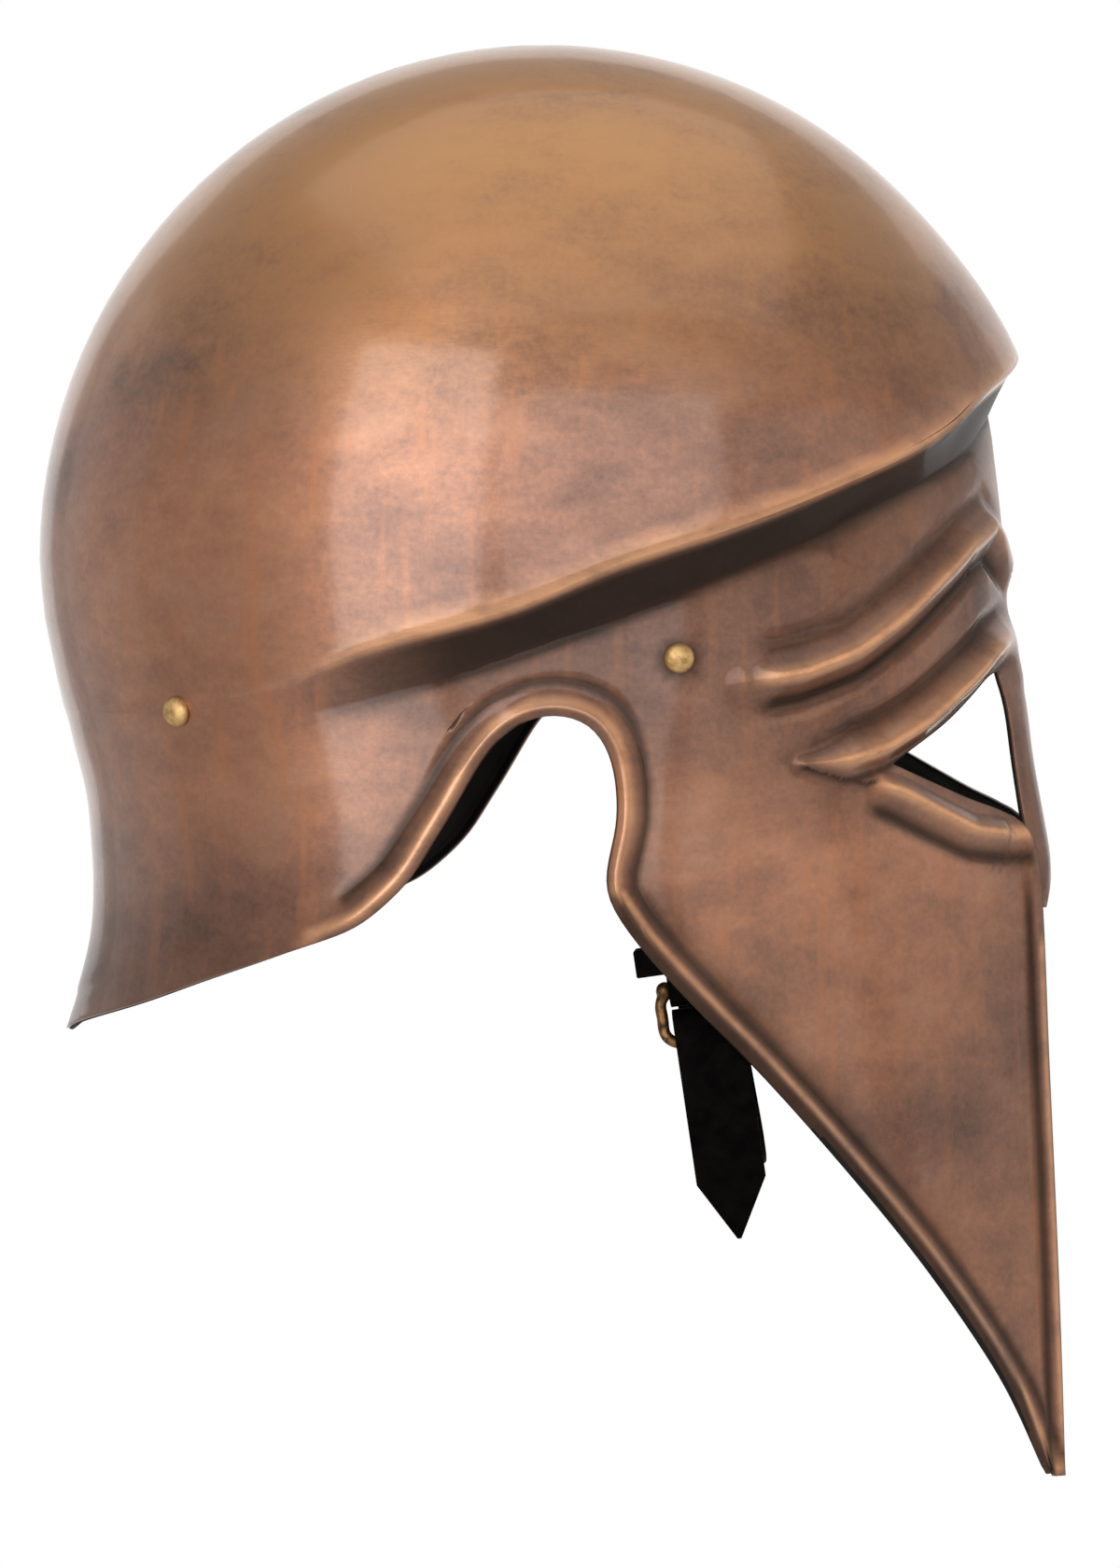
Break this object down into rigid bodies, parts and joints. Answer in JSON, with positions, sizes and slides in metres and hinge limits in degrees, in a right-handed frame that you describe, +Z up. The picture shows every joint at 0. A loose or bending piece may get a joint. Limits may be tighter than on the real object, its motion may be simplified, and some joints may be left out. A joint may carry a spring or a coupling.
{
  "type": "italo-corinthian helmet",
  "caption": "Italo-Corinthian helmet in bronzed metal: smooth skull with a ridge over raised brows, eye openings, nasal, pointed cheek pieces, flared nape and a buckled leather chin strap",
  "frame": {"origin": "inner side of the crown, on the helmet's middle plane, where the helmet sits on a head", "axes": "+Z up, the face looks along -Y, the wearer's right side is at -X"},
  "size_m": [0.2112, 0.2742, 0.3825],
  "materials": {
    "bronzed_steel": "copper-bronze plating aged to mottled brown, satin gloss, bright copper on worn crests, near-black inside",
    "rivet_brass": "aged satin brass",
    "buckle_brass": "dark antique brass",
    "strap_leather": "black semi-matt leather with cut edges"
  },
  "bodies": {
    "root": {"helmet_shell": "bronzed_steel", "rivet_front_right": "rivet_brass", "rivet_front_left": "rivet_brass", "rivet_rear_right": "rivet_brass", "rivet_rear_left": "rivet_brass", "buckle_strap": "strap_leather", "chin_strap": "strap_leather", "strap_keeper": "strap_leather", "buckle_frame": "buckle_brass", "buckle_prong": "buckle_brass"}
  },
  "joints": []
}
